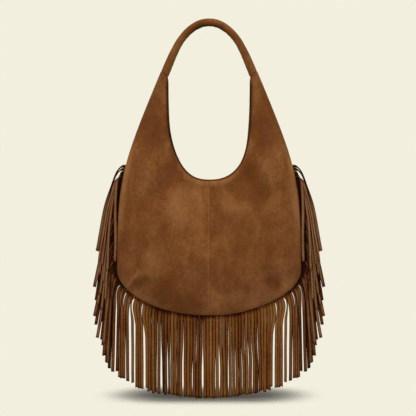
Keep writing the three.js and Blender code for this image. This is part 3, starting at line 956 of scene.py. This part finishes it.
def parted(random, often, most):
    """How far each strip of a section is moved along the seam's line at its tip.

    Some strips, as often as given, part from the one before, a few of them by the most given,
    and the rest close up by the same sum: the running sum of openings less their mean.
    """
    opening = mix(PARTED_LEAST, most, random.uniform(0, 1, SECTION_STRIPS) ** 2)
    opening = opening * (random.uniform(0, 1, SECTION_STRIPS) < often)
    return np.cumsum(opening - opening.mean())[:, None]


def hang_lines(lay, draw):
    """How the strips hang: length, distance travelled, angle from straight down, x and z.

    A strip leaves square to the seam, and its angle relaxes towards its hang as an exponential
    of the distance travelled. Its line is the running sum of that direction. Next to the pouch,
    the outermost strips lean out the full way, and the rest anywhere between them and the pouch.
    """
    sway = np.radians(draw(-0.5, 0.5))
    in_fan = 0.2 + 0.76 * ((lay.order * GOLDEN + 0.25) % 1.0)
    spread = np.where(lay.in_front, in_fan, draw(0.15, 0.98))
    reach = mix(spread, draw(0.6, 1.0), smooth(lay.from_top, 160, 205))
    reach = np.where(lay.outer, 1.0, reach)
    reach = np.where(lay.index == TOP_STRIPS - 1, SECOND_REACH, reach)
    lean = mix(LEAN_TOP, LEAN_SIDE, smooth(lay.from_top, 10, 60)) * lay.beside * reach + sway
    bend = mix(mix(BEND_BASE, BEND_SIDE, lay.beside), BEND_CORNER, lay.slanting)
    bend = bend * draw(0.9, 1.1)
    kinds = [lay.on_top, lay.hugging, lay.tucked]
    bend = np.select(kinds, [BEND_TOP, BEND_CLOSE, BEND_TUCKED], bend)
    shortening = smooth(lay.from_top, *LENGTH_FADE)
    uneven = mix(UNEVEN_SIDE, UNEVEN_BASE, shortening) * draw(-1, 1)
    length = mix(STRIP_LENGTH_SIDE, STRIP_LENGTH_BASE, shortening) + uneven

    stations = np.linspace(0.0, 1.0, STATIONS) ** STATION_SPACING
    t = -ROOT_INSIDE + (length + ROOT_INSIDE) * stations
    between = (t[:, 1:] + t[:, :-1]) / 2
    height = lay.root[:, 1:] - np.clip(between - ROOT_RUN, 0.0, None)
    hang = lean + seam_angle_at(height) * (lay.beside > 0)
    hang = np.where(lay.hugging | lay.tucked, HUG_LEAN, hang)
    relaxed = 1.0 - np.exp(-np.clip(between - STRIP_STAND, 0.0, None) / bend)
    angle = mix(lay.root_angle, hang, relaxed)
    step = np.diff(t, axis=1)
    start = lay.root - lay.normal * ROOT_INSIDE
    x = start[:, :1] + np.cumsum(np.pad(step * np.sin(angle), ((0, 0), (1, 0))), axis=1)
    z = start[:, 1:] - np.cumsum(np.pad(step * np.cos(angle), ((0, 0), (1, 0))), axis=1)
    halfway = (angle[:, 1:] + angle[:, :-1]) / 2
    angle = np.concatenate([angle[:, :1], halfway, angle[:, -1:]], axis=1)
    return length, t, angle, x, z


def flattened(lay, t):
    """How far each strip has turned its flat side to the front again, from 0 to 1."""
    again = np.where(lay.on_top, smooth(t, 45, 110), smooth(t, 24, 58))
    return np.where(lay.hugging, smooth(t, 12, 30), again)


def middle_lines(lay, random, draw, t, angle, x, z):
    """Middle lines of the strips as points: the hang with slips, partings, waves and depth.

    A hooked strip that turns on edge slips aside. Below the pouch some strips part, soon at the
    corner and lower down along the base. Next to the pouch each strip has its own depth.
    """
    slip = np.where(lay.turning, draw(0.4, 1.8) * lay.opened, 0.0)
    slip = slip * smooth(t, 2, 12) * (1 - flattened(lay, t))
    often = mix(PARTED_SHARE, CORNER_SHARE, lay.opened[:, 0])
    most = mix(PARTED_MOST, CORNER_MOST, lay.opened[:, 0])
    apart = parted(random, often, most) * (1.0 - lay.beside)
    parting_from = mix(PARTING_BASE, PARTING_CORNER, lay.opened) + draw(-8, 8)
    parting_run = mix(PARTING_RUN_BASE, PARTING_RUN_CORNER, lay.opened)
    parting = smooth(t, parting_from, parting_from + parting_run)
    swing = mix(draw(0.05, 0.2), draw(0.1, 0.6), lay.beside)
    wave = swing * np.sin(2 * np.pi * t / draw(80, 140) + draw(0, PHASES)) * smooth(t, 12, 60)
    sag = draw(0.1, 0.6) * np.sin(2 * np.pi * t / draw(80, 150) + draw(0, PHASES))
    shift = wave + slip - apart * parting
    fan_depth = np.minimum(FAN_STEP * lay.order, FAN_DEEPEST) - SIDE_DEPTH
    behind = np.select([lay.in_front, lay.outer], [0.0, OUTER_BEHIND], BEHIND_FAN)
    side_depth = np.where(lay.on_top, 0.0, fan_depth + behind + draw(-0.4, 0.4))
    base_depth = BASE_DEPTH * (2.0 * (lay.index * lay.index * GOLDEN % 1.0) - 1.0)
    depth = mix(base_depth, side_depth, lay.beside) * smooth(t, 2.2, 14.0)
    depth = depth + sag * smooth(t, 20, 70)
    return np.stack([x + shift * np.cos(angle), depth, z + shift * np.sin(angle)], axis=-1)


def strip_corners(lay, draw, t, angle, middle):
    """Points of the strips: their section set square to each middle line, twisted and curled.

    At the arch, at the corner and close to the pouch strips leave the seam on edge and then turn
    flat. Lower down every strip twists a little, and a few below the pouch hang edge on.
    """
    kinds = [lay.on_top, lay.tucked | lay.hugging, lay.turning]
    turns = [TURNED_ARCH, TURNED_CLOSE, TURNED_HOOK * lay.opened]
    on_edge = np.radians(np.select(kinds, turns, TURNED_OTHER))
    way = np.where(draw(0, 1) < 0.5, -1, 1)
    turned = way * on_edge * smooth(t, 1.5, 12.0) * (1 - flattened(lay, t))
    edgewise = np.where(draw(0, 1) < EDGEWISE_SHARE, EDGEWISE_TURN, draw(2, 14))
    twisted = np.radians(edgewise * (1.0 - lay.beside) + draw(0, 16) * lay.beside)
    twisting = smooth(t, mix(40, 14, lay.beside), mix(105, 70, lay.beside))
    twist = (turned + way * twisted * twisting)[..., None]
    flat = np.stack([np.cos(angle), np.zeros_like(angle), np.sin(angle)], axis=-1)
    facing = np.array([0.0, 1.0, 0.0])
    wide = flat * np.cos(twist) + facing * np.sin(twist)
    thick = facing * np.cos(twist) - flat * np.sin(twist)

    narrow = np.where(lay.in_front & ~lay.hugging, draw(0.45, 0.85), 1.0)
    cut = STRIP_WIDTH * draw(0.95, 1.03) * mix(1.0, narrow, lay.layered * smooth(t, 18, 45))
    width = mix(STRIP_PITCH, cut, smooth(t, 0.0, 8.0))
    flared = FLARE_CORNER * lay.slanting + FLARE_SIDE * lay.beside * (lay.index > TOP_STRIPS)
    width = width * (1.0 + flared * smooth(t, 0.0, 6.0) * fade(t, 15, 40))
    curl = draw(-0.6, 0.6) * smooth(t, 10, 60)
    aside = width[:, :, None] * STRIP_ACROSS
    lift = STRIP_THROUGH * STRIP + curl[:, :, None] * (1 - 4 * STRIP_ACROSS**2)
    points = middle[:, :, None, :] + wide[:, :, None, :] * aside[..., None]
    points = points + thick[:, :, None, :] * lift[..., None]
    points[:, -1, :, 2] += draw(-2.0, 2.0) * STRIP_ACROSS
    return points


def strip_tones(lay, draw, t, length, right):
    """Nap, with painted light and shade, and dye of the strips' points.

    Next to the pouch, strips in front carry painted light and those behind painted shade, and
    outer strips lie in between. Strips are darker at their cut edges, partly their own colour and
    partly painted shade, with painted shade at their roots, at the arch, at the hip and where
    others shelter them, and darker at their tips. The hooked ones carry painted light at the
    corner. Below the pouch the dye is stronger.
    """
    base_tone = draw(-0.4, 0.26)
    # Painted shade on the strips behind and where others shelter them, painted light in front.
    behind = BEHIND_PAINTED_SHADE + BEHIND_TIP_LIGHT * smooth(t, 105, 160)
    side_tone = np.select([lay.outer, lay.in_front], [OUTER_TONE, FRONT_PAINTED_LIGHT], behind)
    tone = mix(base_tone, side_tone + 0.5 * base_tone, lay.layered)
    tone = tone - HIP_SHADE * bell(lay.from_top, 212, 40)
    tone = tone - np.where(lay.on_top, ARCH_SHADE * fade(t, 40, 90), 0.0)
    tone = tone + (RIGHT_LIGHT if right else 0.0)
    past_fan = lay.in_front & (lay.order >= FAN_STRIPS)
    sheltered = np.select([lay.outer, past_fan], [OUTER_SHELTER, FRONT_SHELTER], 0.0)
    sheltered = sheltered * lay.layered * fade(t, 55, 100) * ~lay.on_top
    # Painted shade at the roots.
    shade_end = mix(mix(12.0, 14.0, lay.slanting), 24.0, lay.beside)
    shade_end = np.where(lay.hugging, 14.0, shade_end)
    root_shade = mix(mix(ROOT_BASE, ROOT_CORNER, lay.slanting), ROOT_SIDE, lay.beside)
    root_shade = np.where(lay.on_top, ROOT_ARCH, root_shade)
    shaded = root_shade * fade(t, 1.5, shade_end)
    # Painted light on the hooks.
    hook_light = HOOK_LIGHT * lay.opened * (1.0 - lay.beside)
    hook_light = hook_light * smooth(t, 3, 14) * fade(t, 30, 75)
    tip = TIP_DARK * smooth(t, length - 7, length)
    tone = tone + shaded + hook_light + tip - sheltered

    # Darker cut edges, partly their own colour and partly painted shade, less so near the roots.
    wear_light_and_shade = np.interp(np.abs(STRIP_ACROSS), EDGE_PLACES, EDGE_WEAR_AND_SHADE)
    edges_lighter = fade(t, 6, 26) * (1.0 - lay.layered)
    edges_lighter = np.where(lay.on_top, fade(t, 10, 40), edges_lighter)
    nap = tone[:, :, None] + wear_light_and_shade * (1.0 - EDGES_LIGHTER_SHARE * edges_lighter[:, :, None])
    dye = np.broadcast_to(BASE_DYE * (1.0 - lay.layered)[:, :, None], nap.shape)
    return nap.reshape(-1), dye.reshape(-1)


def strips(section, right):
    """The strips of one length of fringe: points by strip, station and corner, nap and dye."""
    apart_from_left = right and section == len(SECTIONS) - 1
    random = np.random.default_rng([SEED, section, int(apart_from_left)])

    def draw(low, high):
        """A number for each strip, drawn evenly between two limits."""
        return random.uniform(low, high, (SECTION_STRIPS, 1))

    lay = layout(section)
    length, t, angle, x, z = hang_lines(lay, draw)
    middle = middle_lines(lay, random, draw, t, angle, x, z)
    points = strip_corners(lay, draw, t, angle, middle)
    return points, *strip_tones(lay, draw, t, length, right)


def heading(section):
    """The uncut heading of a length of fringe: a flat band that follows the seam and lies in it."""
    begin = section_start(section) + HEADING_GAP
    end = section_start(section) + SECTION_LENGTH - HEADING_GAP
    edge, normal = seam_frame(np.linspace(begin, end, 3 * SECTION_STRIPS + 1))
    band = np.stack([edge - normal * HEADING, edge + normal * HEADING_PAST])
    depth = np.full(band.shape[:2], STRIP / 2 - HEADING_THINNER)
    front_face = np.stack([band[..., 0], -depth, band[..., 1]], axis=-1)
    back_face = np.stack([band[..., 0], depth, band[..., 1]], axis=-1)
    return np.concatenate([front_face, back_face[::-1]])


def fringe(section, right):
    """One length of fringe: its heading and its strips, each a closed tube of its section."""
    side = np.array([1.0 if right else -1.0, 1.0, 1.0])
    points, nap, dye = strips(section, right)
    count, stations, corners = points.shape[:3]
    tube = np.arange(count) * stations * corners
    faces = [tuple(v + first for v in f) for first in tube for f in tube_faces(stations, corners)]
    points = points.reshape(-1, 3) * side
    faces = outward(points, faces)

    band, band_faces = shell(heading(section) * side)
    faces += [tuple(v + len(points) for v in f) for f in band_faces]

    points = np.concatenate([points, band])
    # The heading carries painted shade.
    nap = np.concatenate([nap, np.full(len(band), HEADING_PAINTED_SHADE)])
    dye = np.concatenate([dye, np.zeros(len(band))])
    name = f"fringe_{'right' if right else 'left'}_{SECTIONS[section]}"
    return piece(
        f"{name}_strips", points, faces, strip_suede, "fringe_suede", [name], nap=nap, dye=dye
    )


for is_right in (False, True):
    for section_index in range(len(SECTIONS)):
        fringe(section_index, is_right)


# Floor, background, light and camera.

BACKGROUND = "#f2efdf"
PAPER = "#f0edde"
FLOOR_Z = -711.0
FLOOR_RADIUS = 500.0
FLOOR_SIDES = 64
SHADE_LINE = 156.0
SHADE_PAST = 168.0
SHADE_DEPTH = 113.0
SHADE_BACK = 41.0
SHADE_DARKEST = 0.185
SKY_COLOUR = (1.0, 0.985, 0.96, 1.0)
SKY_LOW = 0.28
SKY_HIGH = 0.7
PHOTO_PIXELS = 416
PIXEL = 1.9
CAMERA_DISTANCE = 2.6
CAMERA_ELEVATION = np.radians(4.0)
CAMERA_TARGET = (-0.0021, 0.0, -0.3438)
CAMERA_FAR_END = 20.0
SENSOR_WIDTH = 36.0


def floor_material():
    """Matt pale paper under the bag, a deep painted shadow close to it, fading into the background.

    Shade and fade follow one measure: the distance from a short line under the bag, with the
    depth and the length past the line's ends each divided by their own reach.
    """
    material, tree = new_material("pale_paper_floor")
    place = add(tree, "TexCoord").outputs["Object"]
    vectors = "VectorMath"
    past = maths(tree, "SUBTRACT", place, (0.0, SHADE_BACK * MM, 0.0), kind=vectors)
    past = maths(tree, "ABSOLUTE", past, kind=vectors)
    past = maths(tree, "SUBTRACT", past, (SHADE_LINE / 2 * MM, 0.0, 0.0), kind=vectors)
    past = maths(tree, "MAXIMUM", past, (0.0, 0.0, 0.0), kind=vectors)
    share = maths(tree, "DIVIDE", past, (SHADE_PAST * MM, SHADE_DEPTH * MM, 1.0), kind=vectors)
    away = add(tree, vectors, {0: share}, operation="LENGTH").outputs["Value"]
    # Painted shadow on the paper close under the bag.
    shade = map_range(tree, away, (0.15, 1.0), (SHADE_DARKEST, 1.0), "SMOOTHSTEP")
    shown = map_range(tree, away, (0.45, 1.05), (1.0, 0.0), "SMOOTHSTEP")
    colour = tinted(tree, 1.0, linear(PAPER), shade)
    paper = add(tree, "BsdfDiffuse", {"Color": colour}).outputs[0]
    clear = add(tree, "BsdfTransparent").outputs[0]
    blend = add(tree, "MixShader", {0: shown, 1: clear, 2: paper})
    add(tree, "OutputMaterial", {"Surface": blend.outputs[0]})
    return material


def floor():
    """A flat disc under the bag."""
    angle = np.linspace(0.0, 2 * np.pi, FLOOR_SIDES, endpoint=False)
    points = np.stack([np.cos(angle), np.sin(angle), np.zeros(FLOOR_SIDES)], axis=-1)
    mesh = bpy.data.meshes.new("floor")
    mesh.from_pydata((points * FLOOR_RADIUS * MM).tolist(), [], [tuple(range(FLOOR_SIDES))])
    mesh.materials.append(floor_material())
    made = linked("floor", mesh)
    made.location.z = FLOOR_Z * MM


def surroundings():
    """Soft light from all round, most of it from above, and a plain pale background."""
    world = bpy.data.worlds.new("studio")
    world.use_nodes = True
    tree = world.node_tree
    tree.nodes.clear()
    path = add(tree, "LightPath").outputs
    seen = maths(tree, "MAXIMUM", path["Is Camera Ray"], path["Is Glossy Ray"])
    seen = maths(tree, "MAXIMUM", seen, path["Is Transmission Ray"])
    place = add(tree, "TexCoord").outputs["Generated"]
    height = add(tree, "SeparateXYZ", {"Vector": place}).outputs["Z"]
    overhead = map_range(tree, height, (-0.4, 0.8), (SKY_LOW, SKY_HIGH))
    sky = {"Color": SKY_COLOUR, "Strength": overhead}
    even = add(tree, "Background", sky).outputs[0]
    plain = {"Color": linear(BACKGROUND), "Strength": 1.0}
    pale = add(tree, "Background", plain).outputs[0]
    blend = add(tree, "MixShader", {0: seen, 1: even, 2: pale})
    add(tree, "OutputWorld", {"Surface": blend.outputs[0]})
    bpy.context.scene.world = world


def aim(made, place, target):
    """Sets an object at a place, with its -Z axis pointing at a target and its +Y axis up."""
    made.location = place
    made.rotation_euler = (Vector(target) - Vector(place)).to_track_quat("-Z", "Y").to_euler()


def soft_lamp(name, place, target, size, power):
    """A rectangular area lamp at a place, facing a target. Size is width and height in metres."""
    lamp = bpy.data.lights.new(name, "AREA")
    lamp.shape = "RECTANGLE"
    lamp.size, lamp.size_y = size
    lamp.energy = power
    aim(linked(name, lamp), place, target)


def camera():
    """A long lens, a little above the bag's middle, that frames as much as the photo does."""
    frame_width = PHOTO_PIXELS * PIXEL * MM
    place = (
        CAMERA_TARGET[0],
        -CAMERA_DISTANCE * np.cos(CAMERA_ELEVATION),
        CAMERA_TARGET[2] + CAMERA_DISTANCE * np.sin(CAMERA_ELEVATION),
    )
    lens = bpy.data.cameras.new("photo_camera")
    lens.sensor_fit = "HORIZONTAL"
    lens.sensor_width = SENSOR_WIDTH
    lens.lens = SENSOR_WIDTH * CAMERA_DISTANCE / frame_width
    lens.clip_end = CAMERA_FAR_END
    made = linked("photo_camera", lens)
    aim(made, place, CAMERA_TARGET)
    bpy.context.scene.camera = made


floor()
surroundings()
soft_lamp("key_lamp", (-0.7, -2.0, 0.4), (0, 0, -0.3), (1.0, 1.0), 15)
soft_lamp("fill_lamp", (1.3, -1.6, 0.1), (0, 0, -0.4), (1.2, 1.2), 5)
soft_lamp("top_lamp", (0.0, 0.05, 1.2), (0, 0, -0.5), (1.8, 0.5), 16)
camera()
bpy.context.scene.view_settings.view_transform = "Standard"
